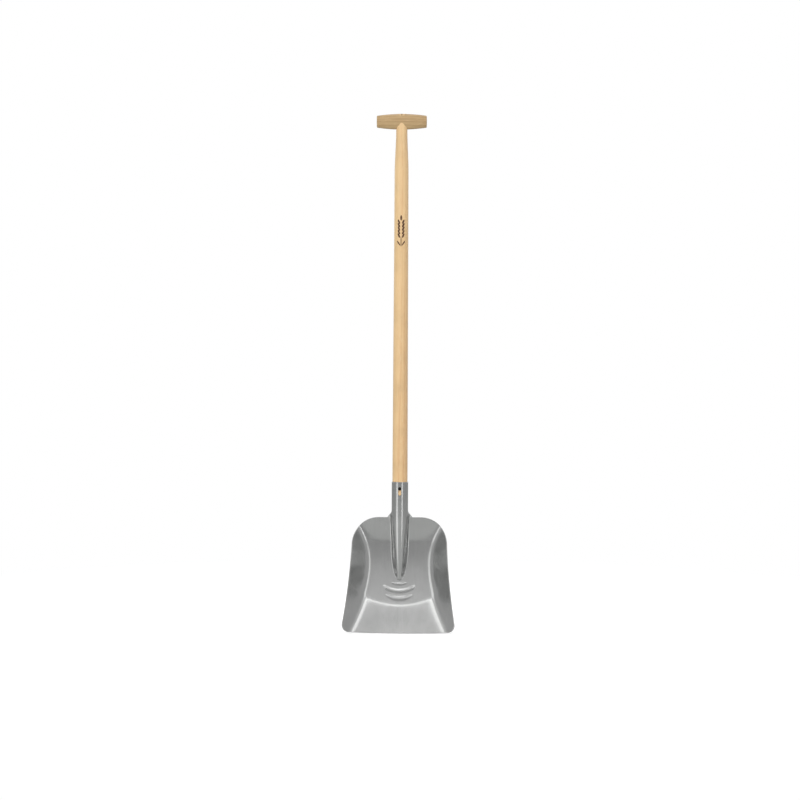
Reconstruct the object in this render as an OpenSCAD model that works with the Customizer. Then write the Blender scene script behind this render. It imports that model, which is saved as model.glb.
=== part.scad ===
// Grain scoop shovel: a scoop pressed from one steel sheet with an open-backed socket, a turned wooden
// shaft, a barrel-shaped T-grip and the small fasteners that hold them together.
// Millimetres. +Z runs up the shaft, the open side of the scoop faces -Y and the lip stands on Z = 0.
// X = 0 is the mirror plane, and Y = 0 is the middle of the shovel's overall depth.

/* [Scoop outline] */
// Height of the blade, from the lip to the top of its shoulders
blade_h = 280; // [230:1:360]
// Width across the two lip corners
lip_w = 283; // [220:1:350]
// Width where the sides run into the shoulder curves
shoulder_w = 238.4; // [190:1:300]
// Radius of the shoulder curves
shoulder_r = 66; // [40:1:85]
// Radius of the lip corners
corner_r = 21; // [6:1:30]
// How hollow the sides are between shoulder and lip, 1 being straight
side_flare = 1.45; // [1:0.1:2.5]
// How far the lip bows down in the middle
lip_bow = 5; // [0:0.5:12]
// Thickness of the sheet
sheet_t = 1.5; // [1.2:0.1:2.5]

/* [Scoop dish] */
// Height of the heel, the deepest line of the floor
heel_h = 222; // [180:1:280]
// How far the heel lies behind the shaft's axis
heel_back = 12; // [6:0.5:16]
// Radius of the floor above the heel
heel_r = 400; // [300:10:700]
// How far the middle of the lip stands in front of the shaft's axis
lip_reach = 85; // [60:1:110]
// How late the floor's forward sweep comes, 1 being straight
sweep = 1.65; // [1.3:0.05:2.2]
// Height of the bend at the middle, where the floor breaks forward into the apron
bend_h = 63; // [40:1:100]
// Plan radius of the bend line
bend_r = 167; // [100:5:400]
// Further forward slope of the apron below the bend
apron_slope = 0.2; // [0:0.01:0.5]
// Rounding of the bend
bend_soft = 7; // [2:0.5:20]
// Half width of the floor at its waist
waist_x = 79.5; // [60:1:100]
// Height of the waist
waist_h = 165; // [120:1:210]
// Radius of each floor crease above the waist
crease_r_up = 152; // [120:1:400]
// Radius of each floor crease below the waist
crease_r_down = 326; // [200:1:800]
// Rounding of the crease between floor and side wall
crease_soft = 11; // [4:0.5:25]
// Steepness of the side walls at the waist
wall_angle = 50; // [20:1:62]
// Steepness of the side walls at the lip
wall_angle_lip = 36; // [10:1:55]

/* [Frog and socket] */
// Length of socket above the blade's shoulders
socket_h = 90; // [60:1:140]
// Height where the frog, the hollow rib that carries on the socket, starts to sink into the floor
frog_top = 290; // [240:1:370]
// How fast the frog's crest sinks back as it runs down
frog_slope = 0.05; // [0.03:0.005:0.06]
// Height of the frog's nose
frog_nose = 121; // [90:1:170]
// Crest radius of the frog at its nose
frog_nose_r = 6.5; // [5:0.5:12]
// How late the crest narrows towards the nose, 1 being straight
frog_narrow = 1.7; // [1.2:0.1:2.5]
// Radius of the fillet along the foot of the frog
frog_fillet_r = 6; // [3:0.5:7]
// Steepness of the frog's flanks above the heel
frog_flank = 84; // [65:1:86]
// Steepness of the frog's flanks at the nose
frog_flank_nose = 16; // [12:1:40]
// How late the flanks steepen above the nose, 1 being evenly
frog_steepen = 0.62; // [0.5:0.01:1]
// How far round the shaft each flap reaches at the mouth, counted from the front
flap_angle = 165; // [120:1:172]
// Width of the slot in the socket's front
slot_w = 7.5; // [5:0.5:10]
// Length of that slot
slot_l = 21; // [12:1:30]
// Distance of the slot's top from the socket's mouth
slot_down = 12; // [8:1:30]

/* [Stiffening crescents] */
// Heights of the three crescents at the middle
crescent_h = [113.6, 96.6, 78.8]; // [70:0.1:118]
// Half lengths of the three crescents
crescent_half = [21, 41, 36]; // [12:1:50]
// Half widths of the three crescents
crescent_wide = [4.2, 6.2, 7.2]; // [3:0.1:8]
// How far the three crescents stand proud of the floor
crescent_rise = [1.5, 2.4, 1.9]; // [0.5:0.1:2.5]
// How far the three crescents taper to their ends, 0 being round-ended and 1 pointed
crescent_taper = [1, 0, 1]; // [0:0.1:1]
// Radius that the crescents are bent to
crescent_r = 72; // [50:1:150]

/* [Handle] */
// Height of the whole shovel
total_h = 1300; // [900:5:1500]
// Diameter of the shaft at the socket's mouth
shaft_d = 38; // [30:0.5:42]
// Diameter of the shaft where its neck begins
shaft_top_d = 35.2; // [28:0.5:40]
// Diameter of the neck under the grip
neck_d = 28.4; // [22:0.5:32]
// Length of the neck's taper
neck_l = 112; // [60:1:180]
// Height of the shaft's rounded lower end, inside the frog
shaft_foot = 180; // [170:1:240]

/* [T-grip] */
// Length of the grip
grip_l = 126; // [90:1:160]
// Height of the grip's section at its middle
grip_tall = 39.2; // [34:0.1:48]
// Depth of the grip's section at its middle
grip_deep = 29.4; // [29:0.1:44]
// How much thinner the grip is at its ends
grip_taper = 8.6; // [2:0.1:14]
// Rounding of the grip's end edges
grip_edge_r = 2.5; // [1:0.1:4]
// Diameter of the shaft's tenon at the top of the grip
tenon_d = 22; // [16:0.5:26]

/* [Fasteners] */
// Shank diameter of the socket screw
screw_d = 4.2; // [3:0.1:5]
// Head diameter of the socket screw
screw_head_d = 8.6; // [6:0.1:11]
// Height of the socket screw's head
screw_head_h = 3; // [1.5:0.1:4]
// Length of the socket screw under its head
screw_l = 25; // [16:1:32]
// Shank diameter of the nails
nail_d = 2.8; // [2:0.1:3.5]
// Head diameter of the nails
nail_head_d = 6.2; // [4:0.1:8]
// Thickness of the nails' heads
nail_head_h = 1.2; // [0.8:0.1:2.5]
// Length of the grip's nail under its head
nail_l = 20; // [12:1:26]
// Length of the flap nails under their heads
flap_nail_l = 14; // [8:1:16]
// Distance of the flap nails below the socket's mouth
flap_nail_down = 30; // [22:1:45]
// Angle round the shaft from each flap's edge to its nail
flap_nail_in = 18; // [12:1:30]
// Thickness of the wedge at its upper end
wedge_t = 3.2; // [2:0.1:5]
// Length of the wedge
wedge_l = 16; // [8:1:18]

/* [Hidden] */
fit = 0.2;            // play between the socket and the shaft
hole_fit = 0.05;      // play round a screw or nail in its hole
weld = 0.02;          // overlap that joins two shapes of one piece
steel = [0.62, 0.63, 0.63];
wood = [0.90, 0.78, 0.58];
grip_wood = [0.76, 0.66, 0.49];
dark_steel = [0.16, 0.15, 0.15];

socket_top = blade_h + socket_h;
shaft_r = shaft_d / 2;
mid_r = shaft_r + fit + sheet_t / 2;          // middle of the sheet, round the socket
shoulder_z = blade_h - shoulder_r;
slot_z = socket_top - slot_down - slot_l / 2;
screw_z = slot_z + slot_l / 2 - slot_w / 2;
nail_z = socket_top - flap_nail_down;
nail_angle = flap_angle - flap_nail_in;        // where each flap is nailed, counted from the front

// ---- small helpers ----
function mix(a, b, t) = a + (b - a) * t;
function clamp(x, a, b) = min(b, max(a, x));
function ease(a, b, x) = let (t = clamp((x - a) / (b - a), 0, 1)) t * t * (3 - 2 * t);
// a ramp from 0 with its corner rounded over about k
function soft(x, k) = (x + sqrt(x * x + k * k)) / 2;
// a ramp that is 0 up to d = 0, then a parabola over k, then straight
function ramp(d, k) = d <= 0 ? 0 : d < k ? d * d / (2 * k) : d - k / 2;
function sum(v) = [for (a = v) 1] * v;

// ---- the dished floor as a depth over the plan ----
function bend_z(x) = bend_h + x * x / (2 * bend_r);
function crease_x(z) = waist_x + pow(z - waist_h, 2) / (2 * (z > waist_h ? crease_r_up : crease_r_down));
function wall_tan(z) = tan(mix(wall_angle_lip, wall_angle, ease(0, waist_h, z)));
function crescent(i, x, z) =
    let (t = min(1, abs(x) / crescent_half[i]),
         taper = max(0.1, mix(1, sqrt(1 - t * t), crescent_taper[i])),
         across = (z - crescent_h[i] - x * x / (2 * crescent_r)) / (crescent_wide[i] * taper),
         along = (1 - crescent_taper[i]) * max(0, (abs(x) - crescent_half[i]) / crescent_wide[i] + 1),
         d = sqrt(across * across + along * along))
    t == 1 ? 0 : crescent_rise[i] * taper * taper * (1 - ease(0.15, 1, d));
sweep_depth = heel_back + lip_reach - apron_slope * bend_h;
function heel_line(z) = heel_back - (z > heel_h ? pow(z - heel_h, 2) / (2 * heel_r)
    : sweep_depth * pow((heel_h - z) / heel_h, sweep));
function dish_y(x, z) =
    heel_line(z)
    - apron_slope * soft(bend_z(x) - z, bend_soft)
    - wall_tan(z) * soft(abs(x) - crease_x(z), crease_soft);
function floor_y(x, z) = dish_y(x, z) - sum([for (i = [0:2]) crescent(i, x, z)]);

// ---- half width of the blade's outline at a height ----
function corner_cut(z) = z >= corner_r ? 0 : corner_r - sqrt(max(0, z * (2 * corner_r - z)));
function outline_x(z) = z >= shoulder_z
    ? shoulder_w / 2 - shoulder_r + sqrt(max(0, pow(shoulder_r, 2) - pow(z - shoulder_z, 2)))
    : mix(shoulder_w, lip_w, pow((shoulder_z - z) / shoulder_z, side_flare)) / 2 - corner_cut(z);

// ---- the frog's section: crest arc, flank and foot fillet, as a walk along the sheet ----
blend_l = 30;                                   // length over which the crest starts to sink
function crest_y(z) = -mid_r + frog_slope * ramp(frog_top - z, blend_l);
function crest_r(z) =
    mid_r - (mid_r - frog_nose_r) * pow(clamp((frog_top - z) / (frog_top - frog_nose), 0, 1), frog_narrow);
shoulder_fillet = 3.5;                          // what the fillet gains where it meets the shoulders
function fillet_r(z) = frog_fillet_r + shoulder_fillet * ease(blade_h - 20, blade_h, z);
nose_l = 5;                                     // length of the nose's end face
function frog_high(z) = max(0, dish_y(0, z) - crest_y(z)) * ease(frog_nose, frog_nose + nose_l, z);
function steepest(z) = mix(frog_flank_nose, frog_flank,
    pow(clamp((z - frog_nose) / (heel_h - frog_nose), 0, 1), frog_steepen));
function flank(z) = min(steepest(z), acos(clamp(1 - frog_high(z) / (crest_r(z) + fillet_r(z)), -1, 1)));
function flank_l(z) = frog_high(z) <= 0 ? 0
    : max(0, frog_high(z) - (crest_r(z) + fillet_r(z)) * (1 - cos(flank(z)))) / sin(flank(z));
function foot_x(z) = (crest_r(z) + fillet_r(z)) * sin(flank(z)) + flank_l(z) * cos(flank(z));
function arc_l(r, a) = r * a * PI / 180;
function foot_l(z) = arc_l(crest_r(z) + fillet_r(z), flank(z)) + flank_l(z);
// where a walk of length l from the crest ends: [x, drop behind the crest]
function frog_walk(l, z) =
    let (r = crest_r(z), f = fillet_r(z), a = flank(z), h = flank_l(z),
         l1 = arc_l(r, a), l2 = l1 + h, l3 = l2 + arc_l(f, a))
    l <= l1 ? [r * sin(l / r * 180 / PI), r * (1 - cos(l / r * 180 / PI))] :
    l <= l2 ? [r * sin(a) + (l - l1) * cos(a), r * (1 - cos(a)) + (l - l1) * sin(a)] :
    l <= l3 ? let (b = a - (l - l2) / f * 180 / PI)
              [r * sin(a) + h * cos(a) + f * (sin(a) - sin(b)),
               r * (1 - cos(a)) + h * sin(a) + f * (cos(b) - cos(a))] :
              [foot_x(z) + l - l3, (r + f) * (1 - cos(a)) + h * sin(a)];

// ---- how the rows of the mesh bow upward at the sides, along the crescents and the lip ----
row_lift = 25;                                  // most that a row rises towards the sides
function lift(x, z) = row_lift * (1 - exp(-x * x / (2 * crescent_r * row_lift)))
    * (ease(corner_r, bend_h + 15, z) - ease(frog_nose + 4, frog_nose + 80, z));
function bow(x, z) = lip_bow * pow(2 * x / lip_w, 2) * (1 - ease(0, bend_h, z));
function row_z(x, z) = z + lift(x, z) + bow(x, z);
function side_x(z) = outline_x(z + lift(outline_x(z), z));

// ---- the sheet's middle surface, right half ----
nose_patch = 24;                                // half width of the frog's patch below its nose
// floor that the frog's patch takes with it
function margin(z) = max(1.5, nose_patch * (1 - ease(frog_nose, frog_nose + 36, z)) - foot_x(z));
wrap_l = 22;                                    // length over which the shoulders turn into the socket
function wrap(z) = ease(blade_h, blade_h + wrap_l, z);
flap_root = 100;                                // how far round each flap reaches at its root
function flap_end(z) = mix(flap_root, flap_angle, ease(blade_h + 8, blade_h + 0.7 * socket_h, z));
function patch_l(z) = mix(foot_l(z) + margin(z), arc_l(mid_r, flap_end(z)), wrap(z));
function neck_point(u, z) =
    let (l = u * patch_l(z), g = wrap(z), p = frog_walk(l, z), a = l / mid_r * 180 / PI,
         h = row_z(p[0], z), crest = z > blade_h ? crest_y(z) : dish_y(0, z) - frog_high(z),
         level = floor_y(p[0], h) - dish_y(0, z))
    [mix(p[0], mid_r * sin(a), g), mix(crest + p[1] + level, -mid_r * cos(a), g), h];
function floor_point(u, z) =
    let (x = mix(foot_x(z) + margin(z), side_x(z), pow(u, 1.15)), h = row_z(x, z)) [x, floor_y(x, h), h];

// ---- outward unit normals, pointing to the front ----
function unit(v) = v / norm(v);
step = 0.02;
function neck_normal(u, z) =
    let (u1 = min(u + step, 1), u0 = max(u - step, 0),
         du = u0 == 0 ? [1, 0, 0] : neck_point(u1, z) - neck_point(u0, z),
         dz = neck_point(u, z + step * 10) - neck_point(u, z - step * 10),
         n = cross(du, dz))
    unit(u == 0 ? [0, n[1], n[2]] : n);
function floor_normal(p) =
    let (h = step * 5,
         sx = (floor_y(p[0] + h, p[2]) - floor_y(p[0] - h, p[2])) / (2 * h),
         sz = (floor_y(p[0], p[2] + h) - floor_y(p[0], p[2] - h)) / (2 * h))
    unit([sx, -1, sz]);

// ---- rows and columns of the sheet ----
// a list of numbers in falling order
function falling(v) = len(v) < 2 ? v : let (p = v[floor(len(v) / 2)]) concat(
    falling([for (a = v) if (a > p) a]), [p], falling([for (a = v) if (a < p) a]));
neck_cols = 11;
floor_cols = 12;
neck_rows = [for (i = [0:9]) mix(socket_top, blade_h, i / 10)];
shoulder_rows = [for (i = [0:7]) shoulder_z + shoulder_r * cos(i * 90 / 8)];
waist_rows = [for (i = [0:5]) mix(shoulder_z, frog_nose + 16, i / 6)];
nose_rows = [for (i = [0:3]) mix(frog_nose + 16, frog_nose, i / 3)];
rib_rows = [for (i = [0:2]) for (k = [1, 0.35, -0.35, -1, -1.4]) crescent_h[i] + k * crescent_wide[i]];
bend_rows = [for (k = [0.6, 0, -0.6, -1.4]) bend_h + k * bend_soft];
apron_rows = [for (i = [1:4]) mix(bend_h - 1.4 * bend_soft, corner_r, i / 5)];
corner_rows = [for (i = [0:5]) corner_r * (1 - sin(i * 18))];
blade_rows = falling(concat(shoulder_rows, waist_rows, nose_rows, rib_rows, bend_rows, apron_rows,
    corner_rows));
rows = concat(neck_rows, blade_rows);
n_neck = len(neck_rows);

function half_row(z, floor) = concat(
    [for (i = [0:neck_cols]) [neck_point(i / neck_cols, z), neck_normal(i / neck_cols, z)]],
    floor ? [for (i = [1:floor_cols]) let (p = floor_point(i / floor_cols, z)) [p, floor_normal(p)]] : []);
function mirrored(v) = [-v[0], v[1], v[2]];
// one row from left edge to right edge, moved out along its normals by d
function sheet_row(half, d) = concat(
    [for (i = [len(half) - 1:-1:1]) mirrored(half[i][0] + d * half[i][1])],
    [for (q = half) q[0] + d * q[1]]);
halves = [for (i = [0:len(rows) - 1]) half_row(rows[i], i >= n_neck)];
face_side = [for (h = halves) sheet_row(h, sheet_t / 2)];
back_side = [for (h = halves) sheet_row(h, -sheet_t / 2)];
function start(i) = i == 0 ? 0 : sum([for (k = [0:i - 1]) len(face_side[k])]);
starts = [for (i = [0:len(rows)]) start(i)];
n_face = starts[len(rows)];
// index of a point, counted from the row's middle column
function at(i, c, side) = starts[i] + (len(face_side[i]) - 1) / 2 + c + side * n_face;
// columns that row i shares with the row below it, on each side
function reach(i) = i < n_neck ? neck_cols : neck_cols + floor_cols;
function quad(a, b, c, d) = [[a, b, c], [a, c, d]];
function flat2(v) = [for (q = v) for (t = q) t];

face_quads = flat2([for (i = [0:len(rows) - 2]) let (r = reach(i)) for (c = [-r:r - 1])
    quad(at(i, c, 0), at(i, c + 1, 0), at(i + 1, c + 1, 0), at(i + 1, c, 0))]);
back_quads = flat2([for (i = [0:len(rows) - 2]) let (r = reach(i)) for (c = [-r:r - 1])
    quad(at(i + 1, c, 1), at(i + 1, c + 1, 1), at(i, c + 1, 1), at(i, c, 1))]);
// the rim, walked round the sheet's edge: mouth, right flap, right shoulder, right side, lip and back up
full = neck_cols + floor_cols;
last = len(rows) - 1;
rim = concat(
    [for (c = [-neck_cols:neck_cols]) [0, c]],
    [for (i = [1:n_neck]) [i, neck_cols]],
    [for (c = [neck_cols + 1:full]) [n_neck, c]],
    [for (i = [n_neck + 1:last]) [i, full]],
    [for (c = [full - 1:-1:-full]) [last, c]],
    [for (i = [last - 1:-1:n_neck]) [i, -full]],
    [for (c = [-full + 1:-neck_cols]) [n_neck, c]],
    [for (i = [n_neck - 1:-1:1]) [i, -neck_cols]]);
rim_quads = flat2([for (k = [0:len(rim) - 1]) let (p = rim[k], q = rim[(k + 1) % len(rim)])
    quad(at(q[0], q[1], 0), at(p[0], p[1], 0), at(p[0], p[1], 1), at(q[0], q[1], 1))]);
sheet_points = [for (r = concat(face_side, back_side)) for (p = r) p];

// ---- the lip stands on Z = 0, and Y = 0 is the middle of the depth ----
low_z = min([for (p = sheet_points) p[2]]);
axis_y = -(min([for (p = sheet_points) p[1]]) + max([for (p = sheet_points) p[1]])) / 2;
top_z = total_h + low_z;                        // the grip's top, before the lip is stood on Z = 0
grip_z = top_z - grip_tall / 2;
module on_axis() { translate([0, axis_y, -low_z]) children(); }

// ---- fasteners, each along +Z with its head's underside at Z = 0 and its point below ----
module shank(d, l, play = 0) {
    r = d / 2 + play;
    point = d * 1.2;
    rotate_extrude($fn = 32) polygon([[0, weld], [r, weld], [r, -l + point], [0, -l - play]]);
}
module pan_head(d, h) {
    r = d / 2;
    dome = [for (a = [0:10:90]) [r * (0.55 + 0.45 * cos(a)), h * (0.45 + 0.55 * sin(a))]];
    rotate_extrude($fn = 48) polygon(concat([[0, 0], [r, 0]], dome, [[0, h]]));
}
module nail(l) {
    shank(nail_d, l);
    r = nail_head_d / 2;
    rotate_extrude($fn = 40) polygon([[0, 0], [r, 0], [r, nail_head_h * 0.55],
        [r - nail_head_h * 0.45, nail_head_h], [0, nail_head_h]]);
}

// ---- where the fasteners sit, as the frame of each one ----
outer_r = mid_r + sheet_t / 2;
screw_seat = sqrt(pow(outer_r, 2) - pow(slot_w / 2, 2));    // the head bears on the slot's two edges
module at_screw() { translate([0, -screw_seat, screw_z]) rotate([90, 0, 0]) children(); }
module at_flap_nails() {
    for (s = [-1, 1]) translate([0, 0, nail_z]) rotate([0, 0, s * nail_angle])
        translate([0, -outer_r, 0]) rotate([90, 0, 0]) children();
}
module at_grip_nail() { translate([0, grip_deep / 2, grip_z]) rotate([-90, 0, 0]) children(); }

// ---- scoop: one sheet with its slot and nail holes ----
module scoop_sheet() {
    polyhedron(points = sheet_points, faces = concat(face_quads, back_quads, rim_quads), convexity = 10);
}
module slot_cutter() {
    translate([0, -mid_r / 2, 0]) {
        for (dz = [-1, 1])
            translate([0, 0, slot_z + dz * (slot_l - slot_w) / 2])
                rotate([90, 0, 0]) cylinder(d = slot_w, h = 2 * mid_r, $fn = 48);
        translate([-slot_w / 2, -2 * mid_r, slot_z - (slot_l - slot_w) / 2])
            cube([slot_w, 2 * mid_r, slot_l - slot_w]);
    }
}
module scoop_head() {
    color(steel) on_axis() difference() {
        scoop_sheet();
        slot_cutter();
        at_flap_nails()
            translate([0, 0, -3 * sheet_t]) cylinder(r = nail_d / 2 + hole_fit, h = 6 * sheet_t, $fn = 32);
    }
}

// ---- grip: a barrel of oval section along X ----
grip_ring = 32;
grip_steps = 8;
grip_flat = grip_l / 2 - grip_edge_r;
function grip_scale(x) = 1 - grip_taper / grip_tall * pow(x / grip_flat, 2);
// [x, section size] from the middle of the grip to its rounded end
grip_half = concat(
    [for (i = [0:grip_steps]) let (x = grip_flat * i / grip_steps) [x, grip_scale(x)]],
    [for (a = [30:30:90]) [grip_flat + grip_edge_r * sin(a),
        grip_scale(grip_flat) - grip_edge_r * (1 - cos(a)) * 2 / grip_tall]]);
grip_rings = concat([for (i = [len(grip_half) - 1:-1:1]) [-grip_half[i][0], grip_half[i][1]]], grip_half);
module grip_solid() {
    n = grip_ring;
    m = len(grip_rings);
    points = [for (g = grip_rings) for (k = [0:n - 1])
        [g[0], g[1] * grip_deep / 2 * cos(k * 360 / n), g[1] * grip_tall / 2 * sin(k * 360 / n)]];
    faces = concat(
        [[for (k = [0:n - 1]) k]],
        [for (i = [0:m - 2]) for (k = [0:n - 1])
            [i * n + k, (i + 1) * n + k, (i + 1) * n + (k + 1) % n, i * n + (k + 1) % n]],
        [[for (k = [n - 1:-1:0]) (m - 1) * n + k]]);
    translate([0, 0, grip_z]) polyhedron(points = points, faces = faces, convexity = 4);
}
module tenon_cylinder(play = 0) {
    translate([0, 0, grip_z - grip_tall]) cylinder(r = tenon_d / 2 + play, h = 2 * grip_tall, $fn = 64);
}
module t_grip() {
    color(grip_wood) on_axis() difference() {
        grip_solid();
        tenon_cylinder();
        at_grip_nail() shank(nail_d, nail_l, hole_fit);
    }
}

// ---- shaft: turned, with a taper into the frog and a neck coped to the grip ----
foot_end_r = 7;
// what the frog's crest and flanks leave for the shaft
function room_r(z) =
    let (c = -crest_y(z) - crest_r(z))
    min(-crest_y(z), crest_r(z) + c * cos(flank(z))) - sheet_t / 2 - 2 * fit;
foot_line = [for (i = [0:8]) let (z = mix(shaft_foot + foot_end_r, frog_top, i / 8))
    [min(shaft_r, room_r(z)), z]];
foot_start_r = foot_line[0][0];
foot_tip = [for (a = [0:15:75])
    [max(0, foot_start_r - foot_end_r) + min(foot_start_r, foot_end_r) * sin(a),
     shaft_foot + foot_end_r * (1 - cos(a))]];
taper_start = 40;                               // how far above the socket the shaft's taper starts
neck_top = grip_z - grip_tall / 2;
neck_line = [for (i = [0:12]) let (t = i / 12)
    [mix(shaft_top_d, neck_d, ease(0, 1, t)) / 2, mix(neck_top - neck_l, neck_top, t)]];
module shaft_turned() {
    rotate_extrude($fn = 72) polygon(concat(foot_tip, foot_line, [[shaft_r, socket_top + taper_start]],
        neck_line, [[neck_d / 2, grip_z], [0, grip_z], [0, shaft_foot]]));
}
wedge_tip = 0.6;                                // thickness of the wedge at its lower end
module wedge_solid() {
    top = top_z + 5;
    w = wedge_t / 2;
    tip = wedge_tip / 2;
    intersection() {
        tenon_cylinder();
        grip_solid();
        translate([0, tenon_d, 0]) rotate([90, 0, 0]) linear_extrude(2 * tenon_d)
            polygon([[-w - 0.2, top], [-tip, top_z - wedge_l], [tip, top_z - wedge_l], [w + 0.2, top]]);
    }
}
module handle_shaft() {
    color(wood) on_axis() difference() {
        union() {
            difference() {
                shaft_turned();
                grip_solid();
            }
            intersection() {
                tenon_cylinder();
                grip_solid();
            }
        }
        wedge_solid();
        at_screw() shank(screw_d, screw_l, hole_fit);
        at_flap_nails() shank(nail_d, flap_nail_l, hole_fit);
        at_grip_nail() shank(nail_d, nail_l, hole_fit);
    }
}
module tenon_wedge() { color(grip_wood) on_axis() wedge_solid(); }
module grip_nail() { color(dark_steel) on_axis() at_grip_nail() nail(nail_l); }
module flap_nails() { color(dark_steel) on_axis() at_flap_nails() nail(flap_nail_l); }
module socket_screw() {
    color(dark_steel) on_axis() at_screw() {
        shank(screw_d, screw_l);
        pan_head(screw_head_d, screw_head_h);
    }
}

scoop_head();
handle_shaft();
t_grip();
tenon_wedge();
grip_nail();
socket_screw();
flap_nails();
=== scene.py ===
import math

import bmesh
import bpy
import numpy as np
from bpy.props import FloatProperty, FloatVectorProperty, PointerProperty
from mathutils import Matrix, Vector


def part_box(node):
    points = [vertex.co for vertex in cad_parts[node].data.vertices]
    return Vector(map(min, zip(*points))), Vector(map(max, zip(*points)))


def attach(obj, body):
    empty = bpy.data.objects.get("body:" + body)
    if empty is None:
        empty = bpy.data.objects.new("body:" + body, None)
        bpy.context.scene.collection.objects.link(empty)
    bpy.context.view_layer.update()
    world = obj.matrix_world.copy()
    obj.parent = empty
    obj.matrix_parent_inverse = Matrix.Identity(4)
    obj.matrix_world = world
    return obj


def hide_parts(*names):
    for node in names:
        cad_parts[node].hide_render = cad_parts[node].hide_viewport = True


bl_info = {
    "name": "Grain Scoop Shovel",
    "version": (1, 0, 0),
    "blender": (4, 5, 0),
    "location": "3D View > Sidebar > Scoop Shovel",
    "description": "Builds a pressed steel grain scoop on a wooden shaft with a T-grip, and a studio stage",
    "category": "Object",
}

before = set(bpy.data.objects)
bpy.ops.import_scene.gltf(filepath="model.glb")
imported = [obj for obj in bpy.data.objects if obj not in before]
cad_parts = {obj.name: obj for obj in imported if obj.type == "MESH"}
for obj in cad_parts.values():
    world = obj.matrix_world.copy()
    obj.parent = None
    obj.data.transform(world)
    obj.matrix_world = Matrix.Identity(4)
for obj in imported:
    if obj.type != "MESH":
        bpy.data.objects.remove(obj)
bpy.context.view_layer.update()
SHAFT_LOW, SHAFT_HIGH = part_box("handle_shaft")
HEAD_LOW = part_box("scoop_head")[0]
MM = 0.001
GRIP_TALL = 0.0392                           # height of the grip's section at its middle
GRIP_ROUND = 0.0025                          # rounding of the grip's end edges
SLOT_DOWN, SLOT_LENGTH = 0.012, 0.021        # the slot in the socket's front, measured from its mouth
SLOT_R = 0.00375                             # radius of the slot's round ends
TAPER_ABOVE = 0.040                          # the shaft tapers from this far above the socket's mouth
AXIS_Y = (SHAFT_LOW.y + SHAFT_HIGH.y) / 2    # the shaft's axis
GRIP_Z = SHAFT_HIGH.z - GRIP_TALL / 2        # the middle of the grip's section


# ---------------------------------------------------------------- sizes and colours

def length(name, default, description):
    """A length in metres."""
    return FloatProperty(name=name, description=description, default=default, unit="LENGTH", precision=4)


def swatch(name, default, description):
    """A linear colour."""
    return FloatVectorProperty(name=name, description=description, default=default, subtype="COLOR",
                               min=0, max=1)


class ScoopSizes(bpy.types.PropertyGroup):
    """Sizes of the pressed steel head, in metres"""
    blade_height: length("Blade height", 0.280, "From the lip to the shoulders")
    lip_width: length("Lip width", 0.283, "Across the two lip corners before they are rounded")
    shoulder_width: length("Shoulder width", 0.2384, "Where the sides run into the shoulders")
    shoulder_radius: length("Shoulder radius", 0.066, "Radius of the shoulder curves")
    corner_radius: length("Corner radius", 0.021, "Radius of the lip corners")
    sheet: length("Sheet thickness", 0.0015, "Thickness of the steel")
    socket_height: length("Socket height", 0.090, "Length of socket above the shoulders")
    wave: length("Pressing waves", 0.00035, "Height of the slight waves left in the side walls")


class HandleSizes(bpy.types.PropertyGroup):
    """Sizes of the wooden shaft and T-grip, in metres"""
    shaft_diameter: length("Shaft diameter", 0.038, "At the socket's mouth")
    top_diameter: length("Upper diameter", 0.0352, "Where the neck begins")
    neck_diameter: length("Neck diameter", 0.0284, "Under the grip")
    neck_length: length("Neck length", 0.112, "Length of the taper to the neck")
    grip_length: length("Grip length", 0.126, "Along the T-grip")
    grip_tall: length("Grip height", GRIP_TALL, "Height of the grip's section at its middle")
    grip_deep: length("Grip depth", 0.0294, "Depth of the grip's section at its middle")
    grip_taper: length("Grip taper", 0.0086, "How much thinner the grip is at its ends")
    tenon_diameter: length("Tenon diameter", 0.022, "End of the shaft that shows in the grip's top")


class Finishes(bpy.types.PropertyGroup):
    """Colours of the finishes"""
    steel: swatch("Steel", (0.58, 0.585, 0.58), "Lacquered sheet steel")
    shaft_light: swatch("Shaft wood, light", (0.93, 0.67, 0.36), "Between the grain lines")
    shaft_dark: swatch("Shaft wood, dark", (0.78, 0.47, 0.235), "Along the grain lines")
    grip_light: swatch("Grip wood, light", (0.66, 0.475, 0.25), "Between the grain lines")
    grip_dark: swatch("Grip wood, dark", (0.40, 0.245, 0.11), "Along the grain lines")
    burn: swatch("Burned mark", (0.075, 0.035, 0.018), "Scorched wood of the mark")
    stage: swatch("Floor", (0.93, 0.93, 0.93), "Pale studio floor")


class StageSettings(bpy.types.PropertyGroup):
    """Camera and light"""
    distance: length("Camera distance", 4.0, "From the shaft's axis")
    aim_height: length("Aim height", 0.5774, "Height of the level camera")
    view_width: length("View width", 2.02112, "Width that the camera takes in at the shaft's axis")
    azimuth: FloatProperty(name="Azimuth", description="How far to the right the camera stands, in degrees",
                           default=1.7)
    roll: FloatProperty(name="Roll", description="Tilt of the camera about its own axis, in degrees",
                        default=0.3)
    light: FloatProperty(name="Light", description="Strength of all lights", default=1.0, min=0)


GROUPS = {"scoop_sizes": ScoopSizes, "handle_sizes": HandleSizes, "scoop_finishes": Finishes,
          "scoop_stage": StageSettings}


# ---------------------------------------------------------------- mesh helpers

def mix(a, b, t):
    """a at t = 0 and b at t = 1."""
    return a + (b - a) * t


def ease(a, b, x):
    """A step from 0 at a to 1 at b that starts and ends level."""
    t = np.clip((x - a) / (b - a), 0, 1)
    return t * t * (3 - 2 * t)


def soft(x, k):
    """A ramp from 0 whose corner is a hyperbola of width k: (x + sqrt(x^2 + k^2)) / 2."""
    return (x + np.sqrt(x * x + k * k)) / 2


def angles(count):
    """Equal steps round a full turn."""
    return np.arange(count) * 2 * np.pi / count


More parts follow.
